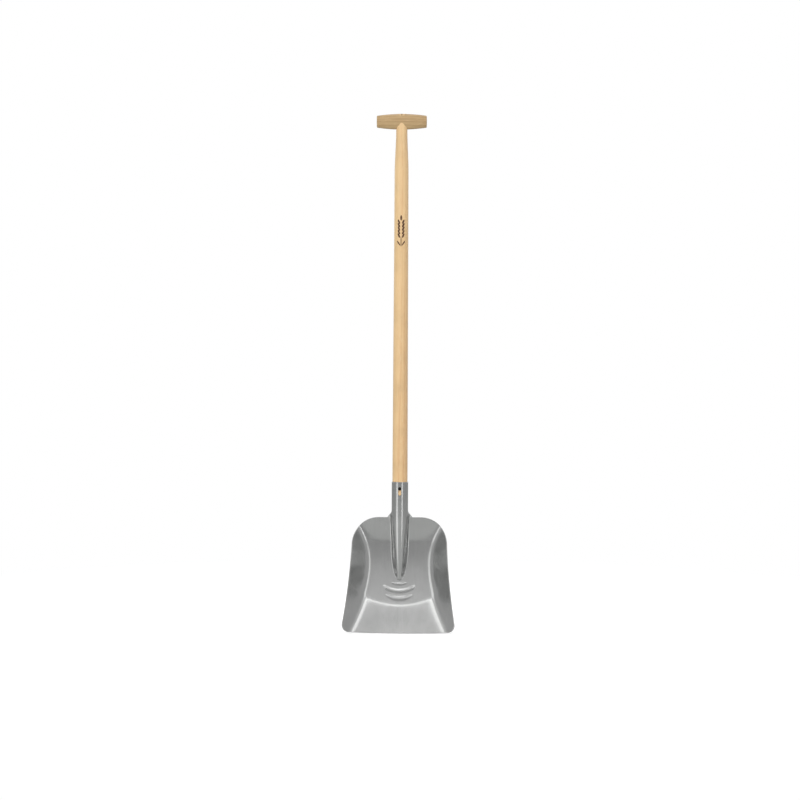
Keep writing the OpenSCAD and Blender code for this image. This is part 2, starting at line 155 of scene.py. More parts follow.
def grid_quads(rows, cols, closed=False):
    """Quads between neighbouring points of a rows x cols grid, joined round across the columns if closed."""
    i = np.arange(rows - 1)[:, None]
    j = np.arange(cols if closed else cols - 1)[None, :]
    k = (j + 1) % cols
    quads = [i * cols + j, i * cols + k, (i + 1) * cols + k, (i + 1) * cols + j]
    return np.stack(quads, axis=-1).reshape(-1, 4)


def capped(rings, first, last=None, flip=False, start=0):
    """Points and faces of a row of rings (rings x around x 3), closed by a fan to a pole before the first
    ring and after the last. `flip` turns the faces over, and `start` is the number of the first point."""
    rows, around = rings.shape[:2]
    count = rows * around
    j = np.arange(around)
    k = (j + 1) % around
    poles = [first]
    parts = [grid_quads(rows, around, closed=True), np.stack([np.full(around, count), k, j], -1)]
    if last is not None:
        poles.append(last)
        parts.append(np.stack([np.full(around, count + 1), count - around + j, count - around + k], -1))
    step = -1 if flip else 1
    faces = sum(((part[:, ::step] + start).tolist() for part in parts), [])
    return np.vstack([rings.reshape(-1, 3), poles]), faces


def shade(mesh, sharp):
    """Smooth shading, with edges over the angle sharp (in degrees) kept crisp."""
    mesh.shade_smooth()
    if sharp is not None:
        mesh.set_sharp_from_angle(angle=math.radians(sharp))


def make_object(name, points, faces, sharp=None):
    """A mesh object whose place is in its mesh. Faces are an array of quads or a list of lists."""
    mesh = bpy.data.meshes.new(name)
    faces = faces.tolist() if isinstance(faces, np.ndarray) else faces
    mesh.from_pydata(points.tolist(), [], faces)
    mesh.validate()
    shade(mesh, sharp)
    obj = bpy.data.objects.new(name, mesh)
    bpy.context.scene.collection.objects.link(obj)
    return obj


def weld(mesh, distance=1e-6):
    """Merges points that coincide, as where two edges of a piece turn down together."""
    work = bmesh.new()
    work.from_mesh(mesh)
    bmesh.ops.remove_doubles(work, verts=work.verts, dist=distance)
    work.to_mesh(mesh)
    work.free()


def finish_piece(obj, material, node):
    """Gives a piece its material in one slot, parents it to the body and hides the CAD node that it replaces.
    """
    obj.data.materials.clear()
    obj.data.materials.append(material)
    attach(obj, "root")
    if node:
        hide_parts(node)
    return obj


def turned(profile, around):
    """A shape turned about Z: each profile point (radius, height) becomes a ring of `around` points, and the
    first and last points, which lie on the axis, close the ends."""
    profile = np.asarray(profile, float)
    radius, height = profile[1:-1, :1], profile[1:-1, 1:]
    a = angles(around)
    rings = np.stack(np.broadcast_arrays(radius * np.cos(a), radius * np.sin(a), height), -1)
    return capped(rings, [0, 0, profile[0, 1]], [0, 0, profile[-1, 1]])


# ---------------------------------------------------------------- the head's surface, in millimetres

class ScoopShape:
    """The middle surface of the pressed sheet. z runs up from the lip, x to the right, and y back from the
    shaft's axis. The floor is a depth over (x, z). The frog and the socket are walked round from their crest.
    Each method's docstring gives its formula in words. Lengths are millimetres and angles degrees."""

    heel_h, heel_back, heel_r = 222, 12, 400
    lip_reach, sweep = 85, 1.65
    bend_h, bend_r, apron, bend_soft = 63, 167, 0.2, 6
    waist_x, waist_h, crease_up, crease_down, crease_soft = 79.5, 165, 152, 326, 11
    wall, wall_lip = 50, 36
    frog_top, frog_slope, frog_nose, nose_l, nose_r, narrow = 290, 0.05, 121, 5, 6.5, 1.7
    flank_top, flank_nose, steepen = 84, 16, 0.62
    crest_start, fillet, fillet_gain, fillet_span = 30, 6, 3.5, 20
    nose_half, nose_span, least_margin = 24, 36, 1.5
    turn_span, flap_low, flap_high = 22, 100, 165
    lip_bow, flare, row_lift, crescent_r = 5, 1.45, 25, 72
    # side-wall waves: millimetres for each radian, heights where they fade in and out, and distances outside
    # the creases over which they start
    wave_step, wave_in, wave_out, wave_start = 5.6, (110, 150), (225, 255), (4, 22)
    # height, half length, half width, rise and taper of each crescent
    crescents = ((113.6, 21, 4.2, 1.5, 1), (96.6, 41, 6.2, 2.4, 0), (78.8, 36, 7.2, 1.9, 1))

    def __init__(self, sizes, shaft_d):
        self.blade_h = sizes.blade_height / MM
        self.lip_w = sizes.lip_width / MM
        self.shoulder_w = sizes.shoulder_width / MM
        self.shoulder_r = sizes.shoulder_radius / MM
        self.corner_r = sizes.corner_radius / MM
        self.sheet = sizes.sheet / MM
        self.socket_top = self.blade_h + sizes.socket_height / MM
        self.wave = sizes.wave / MM
        self.shoulder_z = self.blade_h - self.shoulder_r
        self.mid_r = shaft_d / 2 + 0.2 + self.sheet / 2
        self.sweep_depth = self.heel_back + self.lip_reach - self.apron * self.bend_h

    # the dish
    def heel_line(self, z):
        """Above the heel a parabola; below it the floor comes forward as a power of the distance below."""
        return self.heel_back - np.where(
            z > self.heel_h, (z - self.heel_h) ** 2 / (2 * self.heel_r),
            self.sweep_depth * (np.clip(self.heel_h - z, 0, None) / self.heel_h) ** self.sweep)

    def crease_x(self, z):
        """Half width of the floor: least at the waist, and more by the square of the distance from it, at one
        rate above it and at another below."""
        return self.waist_x + (z - self.waist_h) ** 2 / (2 * np.where(z > self.waist_h, self.crease_up,
                                                                      self.crease_down))

    def dish_y(self, x, z):
        """The heel line, less the apron's extra slope below the bend, less the side walls' slope outside the
        creases; both start with a soft ramp."""
        bend_z = self.bend_h + x * x / (2 * self.bend_r)
        wall = np.tan(np.radians(mix(self.wall_lip, self.wall, ease(0, self.waist_h, z))))
        return (self.heel_line(z) - self.apron * soft(bend_z - z, self.bend_soft)
                - wall * soft(np.abs(x) - self.crease_x(z), self.crease_soft))

    def floor_y(self, x, z):
        """The dish with its three crescents, each a flat-topped ridge along a parabola whose height and width
        shrink to its points as sqrt(1 - t^2), and with faint sine waves in the upper side walls."""
        y = self.dish_y(x, z)
        for height, half, wide, rise, pointed in self.crescents:
            t = np.clip(np.abs(x) / half, 0, 1)
            taper = np.maximum(0.1, mix(1, np.sqrt(1 - t * t), pointed))
            across = (z - height - x * x / (2 * self.crescent_r)) / (wide * taper)
            along = (1 - pointed) * np.clip((np.abs(x) - half) / wide + 1, 0, None)
            y = y - (t < 1) * rise * taper ** 2 * (1 - ease(0.15, 1, np.hypot(across, along)))
        where = (ease(*self.wave_start, np.abs(x) - self.crease_x(z)) * ease(*self.wave_in, z)
                 * (1 - ease(*self.wave_out, z)))
        return y - self.wave * where * np.sin(z / self.wave_step + np.sign(x) * 0.8 + 0.03 * np.abs(x))

    def outline_x(self, z):
        """Half width of the blade: a circle's at the shoulders, and below them a mean of the shoulder's and the
        lip's width by a power of the way down, less a quarter circle at the lip corner."""
        shoulder = self.shoulder_w / 2 - self.shoulder_r + np.sqrt(
            np.clip(self.shoulder_r ** 2 - (z - self.shoulder_z) ** 2, 0, None))
        down = np.clip((self.shoulder_z - z) / self.shoulder_z, 0, None) ** self.flare
        low = np.clip(z, 0, self.corner_r)
        cut = self.corner_r - np.sqrt(low * (2 * self.corner_r - low))
        return np.where(z > self.shoulder_z, shoulder, mix(self.shoulder_w, self.lip_w, down) / 2 - cut)

    # the frog and the socket
    def crest_y(self, z):
        """The crest lies on the socket's front. Below frog_top it sinks along a line that starts softly."""
        d = np.clip(self.frog_top - z, 0, None)
        k = self.crest_start
        return -self.mid_r + self.frog_slope * np.where(d < k, d * d / (2 * k), d - k / 2)

    def crest_r(self, z):
        """The crest's radius, which narrows from the socket's to nose_r as a power of the way down."""
        t = np.clip((self.frog_top - z) / (self.frog_top - self.frog_nose), 0, 1)
        return self.mid_r - (self.mid_r - self.nose_r) * t ** self.narrow

    def fillet_r(self, z):
        """Radius of the fillet at the frog's foot, larger at the shoulders."""
        return self.fillet + self.fillet_gain * ease(self.blade_h - self.fillet_span, self.blade_h, z)

    def frog_high(self, z):
        """Height of the crest over the floor, brought to nothing over the nose."""
        return (np.clip(self.dish_y(0 * z, z) - self.crest_y(z), 0, None)
                * ease(self.frog_nose, self.frog_nose + self.nose_l, z))

    def section(self, z):
        """Parts of the frog's section at z: crest radius, fillet radius, flank angle and flank length. The
        angle is a power of the way up from the nose, or what the two arcs need if the crest is low; the
        flank takes up the height that the arcs leave."""
        r, f, high = self.crest_r(z), self.fillet_r(z), self.frog_high(z)
        t = np.clip((z - self.frog_nose) / (self.heel_h - self.frog_nose), 0, 1)
        steep = np.radians(mix(self.flank_nose, self.flank_top, t ** self.steepen))
        a = np.minimum(steep, np.arccos(np.clip(1 - high / (r + f), -1, 1)))
        h = np.clip(high - (r + f) * (1 - np.cos(a)), 0, None) / np.maximum(np.sin(a), 1e-6)
        return r, f, a, np.where(high > 0, h, 0)

    def walk(self, s, z):
        """Where a walk of length s round the section ends: along the crest's arc, straight down the flank,
        back out along the fillet's arc and then level. Returns x and the drop behind the crest."""
        r, f, a, h = self.section(z)
        s1 = r * a
        s2 = s1 + h
        s3 = s2 + f * a
        t1 = np.clip(s, 0, s1) / r
        t2 = np.clip(s - s1, 0, h)
        b = a - np.clip(s - s2, 0, f * a) / f
        x = r * np.sin(t1) + t2 * np.cos(a) + f * (np.sin(a) - np.sin(b)) + np.clip(s - s3, 0, None)
        y = r * (1 - np.cos(t1)) + t2 * np.sin(a) + f * (np.cos(b) - np.cos(a))
        return x, y

    def foot(self, z):
        """Half width of the frog at its foot, and the length of the walk to there."""
        r, f, a, h = self.section(z)
        return (r + f) * np.sin(a) + h * np.cos(a), (r + f) * a + h

    def lift(self, x, z):
        """How far a row bows up at x: the crescents' parabola near the middle, levelling out at row_lift as
        1 - exp(-x^2), from the lip corners up to the frog."""
        rise = self.row_lift * (1 - np.exp(-x * x / (2 * self.crescent_r * self.row_lift)))
        return rise * (ease(self.corner_r, self.bend_h + 15, z)
                       - ease(self.frog_nose + 4, self.frog_nose + 80, z))

    def row_z(self, x, z):
        """Rows of the grid bow up along the crescents, and near the lip they follow its bow."""
        return (z + self.lift(x, z)
                + self.lip_bow * (2 * x / self.lip_w) ** 2 * (1 - ease(0, self.bend_h, z)))

    def margin(self, z):
        """Level floor between the frog's foot and the side patch, wide below the nose."""
        foot_x, _ = self.foot(z)
        below = 1 - ease(self.frog_nose, self.frog_nose + self.nose_span, z)
        return np.maximum(self.least_margin, self.nose_half * below - foot_x)

    def centre_patch(self, u, z):
        """Frog and socket: the walked section below the shoulders turns into an arc about the shaft above
        them, as a weighted mean of the two."""
        _, foot_s = self.foot(z)
        turn = ease(self.blade_h, self.blade_h + self.turn_span, z)
        closed = ease(self.blade_h + 8, mix(self.blade_h, self.socket_top, 0.7), z)
        flap = np.radians(mix(self.flap_low, self.flap_high, closed))
        s = u * mix(foot_s + self.margin(z), self.mid_r * flap, turn)
        x, drop = self.walk(s, z)
        h = self.row_z(x, z)
        crest = np.where(z > self.blade_h, self.crest_y(z), self.dish_y(0 * z, z) - self.frog_high(z))
        level = self.floor_y(x, h) - self.dish_y(0 * z, z)
        a = s / self.mid_r
        return np.stack(np.broadcast_arrays(mix(x, self.mid_r * np.sin(a), turn),
                                            mix(crest + drop + level, -self.mid_r * np.cos(a), turn), h), -1)

    def side_patch(self, u, z):
        """Floor and side wall: x goes from the frog's foot out to the outline as a power of u."""
        foot_x, _ = self.foot(z)
        edge = self.outline_x(z + self.lift(self.outline_x(z), z))
        x = mix(foot_x + self.margin(z), edge, u ** 1.15)
        h = self.row_z(x, z)
        return np.stack(np.broadcast_arrays(x, self.floor_y(x, h), h), -1)


def scoop_rows(shape):
    """Heights of the grid's rows: even on the socket, round the shoulder circle and the corner circle by
    angle, and closest over the frog's nose, the crescents and the bend."""
    def span(a, b, n):
        return np.linspace(a, b, n, endpoint=False)
    socket = span(shape.socket_top, shape.blade_h, 44)
    shoulder = shape.shoulder_z + shape.shoulder_r * np.cos(span(0, np.pi / 2, 30))
    blade = np.concatenate([shoulder, span(shape.shoulder_z, 142, 30), span(142, 72, 72), span(72, 50, 18),
                            span(50, shape.corner_r, 14),
                            shape.corner_r * (1 - np.sin(span(0, np.pi / 2, 12))), [0.0]])
    return socket, blade


def sheet_mesh(shape, centre_cols=32, side_cols=60):
    """The closed sheet: the middle surface moved half a thickness each way along its normals, with a
    half-round rim. Returns points in millimetres and quads."""
    socket_z, blade_z = scoop_rows(shape)
    rows = np.concatenate([socket_z, blade_z])
    ns, nb, nc = len(socket_z), len(blade_z), centre_cols
    centre = shape.centre_patch(np.linspace(0, 1, nc + 1)[None, :], rows[:, None])
    side = shape.side_patch(np.linspace(0, 1, side_cols + 1)[None, 1:], blade_z[:, None])
    flip = np.array([-1, 1, 1])
    middle = np.concatenate([centre[:, :0:-1] * flip, centre], axis=1)
    blade = np.concatenate([side[:, ::-1] * flip, middle[ns:], side], axis=1)

    def normals(p):
        n = np.cross(np.gradient(p, axis=1), -np.gradient(p, axis=0))
        return n / np.linalg.norm(n, axis=-1, keepdims=True)
    n_blade = normals(blade)
    n_middle = normals(middle)
    n_blade[0, side_cols:side_cols + 2 * nc + 1] = n_middle[ns]
    mids = np.concatenate([middle[:ns].reshape(-1, 3), blade.reshape(-1, 3)])
    norms = np.concatenate([n_middle[:ns].reshape(-1, 3), n_blade.reshape(-1, 3)])

    wide, full = 2 * nc + 1, 2 * (nc + side_cols) + 1
    first = ns * wide
    socket_id = np.arange(first).reshape(ns, wide)
    blade_id = first + np.arange(nb * full).reshape(nb, full)
    centre_id = blade_id[:1, side_cols:side_cols + wide]
    upper = np.concatenate([socket_id, centre_id])

    def quads(ids):
        return np.stack([ids[:-1, :-1], ids[1:, :-1], ids[1:, 1:], ids[:-1, 1:]], axis=-1).reshape(-1, 4)
    face = np.concatenate([quads(upper), quads(blade_id)])
    # the rim, clockwise seen from the front: mouth, right flap, shoulder, side, lip and back up
    rim = np.concatenate([upper[0, :], upper[1:, -1], blade_id[0, side_cols + wide:], blade_id[1:, -1],
                          blade_id[-1, -2::-1], blade_id[-2::-1, 0], blade_id[0, 1:side_cols],
                          upper[:0:-1, 0]])
    inner = np.concatenate([upper[1, :], upper[1:, -2], blade_id[1, side_cols + wide:], blade_id[1:, -2],
                            blade_id[-2, -2::-1], blade_id[-2::-1, 1], blade_id[1, 1:side_cols],
                            upper[:0:-1, 1]])
    along = mids[np.roll(rim, -1)] - mids[np.roll(rim, 1)]
    out = np.cross(along, norms[rim])
    out /= np.linalg.norm(out, axis=1, keepdims=True) + 1e-9
    out *= np.sign(np.sum(out * (mids[rim] - mids[inner]), axis=1, keepdims=True) + 1e-12)
    half, count, m = shape.sheet / 2, len(mids), len(rim)
    arcs = [mids[rim] + norms[rim] * half * np.cos(t) + out * 0.6 * half * np.sin(t)
            for t in np.radians([45, 90, 135])]
    points = np.concatenate([mids + norms * half, mids - norms * half] + arcs)
    rings = [rim, 2 * count + np.arange(m), 2 * count + m + np.arange(m), 2 * count + 2 * m + np.arange(m),
             rim + count]
    strips = [np.stack([a, np.roll(a, -1), np.roll(b, -1), b], axis=-1) for a, b in zip(rings, rings[1:])]
    return points, np.concatenate([face, face[:, ::-1] + count] + strips)


# ---------------------------------------------------------------- shader node groups

def node_group(name, inputs, outputs):
    """An empty shader group with named inputs (name, kind, default) and outputs (name, kind)."""
    group = bpy.data.node_groups.new(name, "ShaderNodeTree")
    for label, kind, default in inputs:
        socket = group.interface.new_socket(label, in_out="INPUT", socket_type=kind)
        if default is not None:
            socket.default_value = default
    for label, kind in outputs:
        group.interface.new_socket(label, in_out="OUTPUT", socket_type=kind)
    return group, group.nodes.new("NodeGroupInput"), group.nodes.new("NodeGroupOutput")


def add(tree, kind, values=None, links=None, **settings):
    """Adds a node, sets its properties and socket values, and links {socket: output} into it."""
    node = tree.nodes.new(kind)
    for key, value in settings.items():
        setattr(node, key, value)
    for key, value in (values or {}).items():
        node.inputs[key].default_value = value
    for key, output in (links or {}).items():
        tree.links.new(output, node.inputs[key])
    return node


def maths(tree, operation, a, b=None, c=None, clamp=False):
    """A Math node on numbers or outputs."""
    node = tree.nodes.new("ShaderNodeMath")
    node.operation = operation
    node.use_clamp = clamp
    for i, value in enumerate((a, b, c)):
        if value is None:
            continue
        if isinstance(value, (int, float)):
            node.inputs[i].default_value = value
        else:
            tree.links.new(value, node.inputs[i])
    return node.outputs[0]


def blend_colour(tree, factor, a, b, mode="MIX"):
    """A Mix node on two colours, each a tuple or an output."""
    node = tree.nodes.new("ShaderNodeMix")
    node.data_type, node.blend_type = "RGBA", mode
    for key, value in ((0, factor), (6, a), (7, b)):
        if isinstance(value, (int, float)):
            node.inputs[key].default_value = value
        elif isinstance(value, (tuple, list)):
            node.inputs[key].default_value = (*value, 1.0)[:4]
        else:
            tree.links.new(value, node.inputs[key])
    return node.outputs[2]


def spread(tree, value, low, high, to_low=0.0, to_high=1.0):
    """Maps a value from one range to another, held at the ends."""
    node = add(tree, "ShaderNodeMapRange", {1: low, 2: high, 3: to_low, 4: to_high}, {0: value})
    return node.outputs[0]


def noise(tree, vector, scale, detail, roughness=0.5):
    """A Noise Texture's value; the scale may be an output."""
    node = add(tree, "ShaderNodeTexNoise", {"Detail": detail, "Roughness": roughness}, {"Vector": vector})
    if isinstance(scale, float):
        node.inputs["Scale"].default_value = scale
    else:
        tree.links.new(scale, node.inputs["Scale"])
    return node.outputs[0]


def wood_grain_group():
    """Straight wood grain. Rings of a log far off the axis make long lines, bent a little by noise; fine
    pores are noise drawn out along the grain; short bright flecks are the rays. Inputs give the direction of
    the grain through the Vector's Z."""
    group, gi, go = node_group(
        "Straight Wood Grain",
        [("Vector", "NodeSocketVector", None), ("Light", "NodeSocketColor", (0.8, 0.6, 0.3, 1)),
         ("Dark", "NodeSocketColor", (0.6, 0.4, 0.2, 1)), ("Line Density", "NodeSocketFloat", 90.0),
         ("Fleck", "NodeSocketFloat", 0.3)],
        [("Color", "NodeSocketColor"), ("Roughness", "NodeSocketFloat"), ("Height", "NodeSocketFloat")])
    vector = gi.outputs["Vector"]
    stretched = add(group, "ShaderNodeMapping", {"Scale": (1, 1, 0.035)}, {"Vector": vector}).outputs[0]
    dashes = add(group, "ShaderNodeMapping", {"Scale": (1, 1, 0.12)}, {"Vector": vector}).outputs[0]
    fine = noise(group, stretched, 620.0, 4.0, 0.65)
    broad = noise(group, stretched, 26.0, 2.0)
    fleck = noise(group, dashes, 420.0, 1.0)
    xyz = add(group, "ShaderNodeSeparateXYZ", None, {0: vector})
    x2, y2 = [maths(group, "POWER", maths(group, "ADD", xyz.outputs[i], heart), 2.0)
              for i, heart in ((0, 0.09), (1, 0.06))]
    across = maths(group, "SQRT", maths(group, "ADD", x2, y2))
    rings = maths(group, "MULTIPLY_ADD", across, gi.outputs["Line Density"],
                  maths(group, "MULTIPLY", noise(group, stretched, 38.0, 3.0), 2.2))
    saw = maths(group, "FRACT", rings)
    late = maths(group, "MULTIPLY", maths(group, "POWER", saw, 3.0),
                 maths(group, "SUBTRACT", 1.0, spread(group, saw, 0.92, 1.0)))
    tone = maths(group, "MULTIPLY", late, 0.55)
    tone = maths(group, "ADD", tone, maths(group, "MULTIPLY", spread(group, fine, 0.35, 0.75), 0.42))
    tone = maths(group, "ADD", tone, spread(group, broad, 0.35, 0.7, -0.12, 0.3), clamp=True)
    colour = blend_colour(group, tone, gi.outputs["Light"], gi.outputs["Dark"])
    flecks = maths(group, "MULTIPLY", spread(group, fleck, 0.6, 0.72), gi.outputs["Fleck"])
    colour = blend_colour(group, flecks, colour, (0.93, 0.72, 0.45))
    pores = spread(group, fine, 0.62, 0.8)
    rough = maths(group, "ADD", 0.42, maths(group, "MULTIPLY", pores, 0.25))
    height = maths(group, "SUBTRACT", maths(group, "MULTIPLY", late, 0.3), pores)
    for key, output in (("Color", colour), ("Roughness", rough), ("Height", height)):
        group.links.new(output, go.inputs[key])
    return group


def handling_group():
    """Handling wear. Slow noise darkens and dulls a colour in soft patches, as hands, dust and storage do."""
    group, gi, go = node_group(
        "Handling Wear",
        [("Vector", "NodeSocketVector", None), ("Color", "NodeSocketColor", (0.5, 0.5, 0.5, 1)),
         ("Amount", "NodeSocketFloat", 0.2), ("Scale", "NodeSocketFloat", 18.0)],
        [("Color", "NodeSocketColor"), ("Mask", "NodeSocketFloat")])
    patch = noise(group, gi.outputs["Vector"], gi.outputs["Scale"], 5.0, 0.62)
    mask = maths(group, "MULTIPLY", spread(group, patch, 0.45, 0.75), gi.outputs["Amount"])
    colour = blend_colour(group, mask, gi.outputs["Color"], (0.30, 0.27, 0.23), "MULTIPLY")
    group.links.new(colour, go.inputs["Color"])
    group.links.new(mask, go.inputs["Mask"])
    return group


GROUP_MAKERS = {"Straight Wood Grain": wood_grain_group, "Handling Wear": handling_group}


def place(tree, name, values=None, links=None):
    """Adds a shared node group, which is built the first time it is asked for."""
    group = bpy.data.node_groups.get(name) or GROUP_MAKERS[name]()
    return add(tree, "ShaderNodeGroup", values, links, node_tree=group)


def new_material(name):
    """A material, its tree, its Principled BSDF and its object coordinates. Where the material was there
    already, all but the first are None."""
    material = bpy.data.materials.get(name)
    if material:
        return material, None, None, None
    material = bpy.data.materials.new(name)
    material.use_nodes = True
    tree = material.node_tree
    where = add(tree, "ShaderNodeTexCoord").outputs["Object"]
    return material, tree, tree.nodes["Principled BSDF"], where


def surface(tree, shader, colour, roughness, height, bump, constants=None):
    """Feeds a colour, a roughness and a bump of (strength, distance) into a Principled BSDF, and sets
    constants on its other sockets."""
    normal = add(tree, "ShaderNodeBump", {"Strength": bump[0], "Distance": bump[1]}, {"Height": height})
    for key, output in (("Base Color", colour), ("Roughness", roughness), ("Normal", normal.outputs[0])):
        if output is not None:
            tree.links.new(output, shader.inputs[key])
    for key, value in (constants or {}).items():
        shader.inputs[key].default_value = value


# ---------------------------------------------------------------- materials

def wood_material(name, light, dark, direction="Z", density=95.0, fleck=0.3, seed=(0.0, 0.0, 0.0)):
    """Lacquered turned wood: straight grain, handling wear, fine pores in the bump and a thin coat."""
    material, tree, shader, where = new_material(name)
    if tree is None:
        return material
    turn = {"Z": (0, 0, 0), "X": (0, math.radians(-90), 0)}[direction]
    mapped = add(tree, "ShaderNodeMapping", {"Rotation": turn, "Location": seed}, {"Vector": where})
    grain = place(tree, "Straight Wood Grain",
                  {"Light": (*light, 1), "Dark": (*dark, 1), "Line Density": density, "Fleck": fleck},
                  {"Vector": mapped.outputs[0]})
    worn = place(tree, "Handling Wear", {"Amount": 0.16, "Scale": 14.0},
                 {"Vector": where, "Color": grain.outputs["Color"]})
    surface(tree, shader, worn.outputs["Color"], grain.outputs["Roughness"], grain.outputs["Height"],
            (0.22, 0.0004), {"Coat Weight": 0.12, "Coat Roughness": 0.28, "Specular IOR Level": 0.35})
    return material


def end_grain_material(name, light, dark):
    """End grain: rings round a heart off to one side, darker and rougher than the long grain."""
    material, tree, shader, where = new_material(name)
    if tree is None:
        return material
    grain = place(tree, "Straight Wood Grain",
                  {"Light": (*light, 1), "Dark": (*dark, 1), "Line Density": 420.0, "Fleck": 0.1},
                  {"Vector": where})
    surface(tree, shader, grain.outputs["Color"], None, grain.outputs["Height"], (0.3, 0.0003),
            {"Roughness": 0.7})
    return material


def steel_material(colour):
    """Lacquered sheet steel: rolling streaks drawn out along Z vary its colour and roughness a little, slow
    noise clouds it, and fine scratches lie in the bump. A clear coat gives the crisp second reflection."""
    material, tree, shader, where = new_material("lacquered_sheet_steel")
    if tree is None:
        return material
    drawn = add(tree, "ShaderNodeMapping", {"Scale": (1, 0.3, 0.03)}, {"Vector": where}).outputs[0]
    streak = noise(tree, drawn, 300.0, 4.0, 0.6)
    cloud = noise(tree, where, 11.0, 4.0, 0.55)
    speck = noise(tree, where, 260.0, 3.0)
    tone = maths(tree, "ADD", spread(tree, streak, 0.3, 0.7, 0.0, 0.30),
                 spread(tree, cloud, 0.35, 0.7, 0.0, 0.45), clamp=True)
    base = blend_colour(tree, tone, tuple(c * 0.90 for c in colour), tuple(min(1, c * 1.08) for c in colour))
    worn = place(tree, "Handling Wear", {"Amount": 0.10, "Scale": 9.0}, {"Vector": where, "Color": base})
    rough = maths(tree, "ADD", spread(tree, cloud, 0.3, 0.75, 0.15, 0.22),
                  maths(tree, "MULTIPLY", spread(tree, streak, 0.3, 0.7), 0.02))
    height = maths(tree, "ADD", maths(tree, "MULTIPLY", streak, 0.6), maths(tree, "MULTIPLY", speck, 0.4))
    surface(tree, shader, worn.outputs["Color"], rough, height, (0.10, 0.0002),
            {"Metallic": 1.0, "Coat Weight": 0.25, "Coat Roughness": 0.10})
    return material


def fastener_material(name, colour, roughness):
    """Plain fastener steel with mottled colour and a pitted bump."""
    material, tree, shader, where = new_material(name)
    if tree is None:
        return material
    pits = noise(tree, where, 700.0, 3.0)
    mottled = blend_colour(tree, pits, tuple(c * 0.7 for c in colour), tuple(min(1, c * 1.3) for c in colour))
    surface(tree, shader, mottled, spread(tree, pits, 0.3, 0.7, roughness - 0.08, roughness + 0.08), pits,
            (0.2, 0.0001), {"Metallic": 1.0})
    return material


def scorched_material(colour):
    """Scorched wood: a dark colour mottled by noise."""
    material, tree, shader, where = new_material("scorched_wood")
    if tree is None:
        return material
    mottled = blend_colour(tree, spread(tree, noise(tree, where, 380.0, 4.0), 0.35, 0.7), colour,
                           tuple(min(1, c * 2.2) for c in colour))
    tree.links.new(mottled, shader.inputs["Base Color"])
    shader.inputs["Roughness"].default_value = 0.6
    return material


# ---------------------------------------------------------------- operators, one for each piece

class SCOOP_OT_head(bpy.types.Operator):
    """Pressed head: see ScoopShape for its surface and sheet_mesh for its thickness. A slot with round ends
    is cut through the front of the socket."""
    bl_idname = "scoop.head"
    bl_label = "Scoop Head"

    def execute(self, context):
        scene = context.scene
        shape = ScoopShape(scene.scoop_sizes, scene.handle_sizes.shaft_diameter / MM)
        points, quads = sheet_mesh(shape)
        points = points * MM
        points[:, 1] += AXIS_Y
        points[:, 2] += HEAD_LOW.z - points[:, 2].min()
        head = make_object("scoop_head_pressing", points, quads)
        # obround cutter: two half circles joined by straight sides, run through the front of the socket
        top = shape.socket_top * MM - SLOT_DOWN
        a = np.linspace(0, np.pi, 25)
        outline = np.concatenate([
            np.stack([SLOT_R * np.cos(a), top - SLOT_R + SLOT_R * np.sin(a)], -1),
            np.stack([-SLOT_R * np.cos(a), top - SLOT_LENGTH + SLOT_R - SLOT_R * np.sin(a)], -1)])
        n = len(outline)
        ring = np.concatenate([np.stack([outline[:, 0], np.full(n, y), outline[:, 1]], -1)
                               for y in (AXIS_Y - 0.030, AXIS_Y - 0.012)])
        faces = grid_quads(2, n, closed=True)[:, ::-1].tolist()
        faces += [list(range(n)), list(range(2 * n - 1, n - 1, -1))]
        cutter = make_object("slot_cutter", ring, faces)
        cut = head.modifiers.new("slot", "BOOLEAN")
        cut.operation, cut.solver, cut.object = "DIFFERENCE", "MANIFOLD", cutter
        context.view_layer.update()
        graph = context.evaluated_depsgraph_get()
        mesh = bpy.data.meshes.new_from_object(head.evaluated_get(graph))
        if len(mesh.polygons) < len(quads) // 2:
            raise RuntimeError("the slot could not be cut")
        head.modifiers.clear()
        head.data = mesh
        mesh.name = "scoop_head_pressing"
        shade(mesh, 42)
        bpy.data.objects.remove(cutter)
        finish_piece(head, steel_material(tuple(scene.scoop_finishes.steel)), "scoop_head")
        return {"FINISHED"}


def grip_section(h, x):
    """Half height and half depth of the grip at x: a barrel whose size falls with the square of x, with its
    end edges rounded over."""
    flat = h.grip_length / 2 - GRIP_ROUND
    scale = 1 - h.grip_taper / h.grip_tall * (np.clip(np.abs(x), 0, flat) / flat) ** 2
    over = np.clip((np.abs(x) - flat) / GRIP_ROUND, 0, 1)
    scale = scale - GRIP_ROUND * (1 - np.sqrt(np.clip(1 - over ** 2, 0, 1))) * 2 / h.grip_tall
    return h.grip_tall / 2 * scale, h.grip_deep / 2 * scale


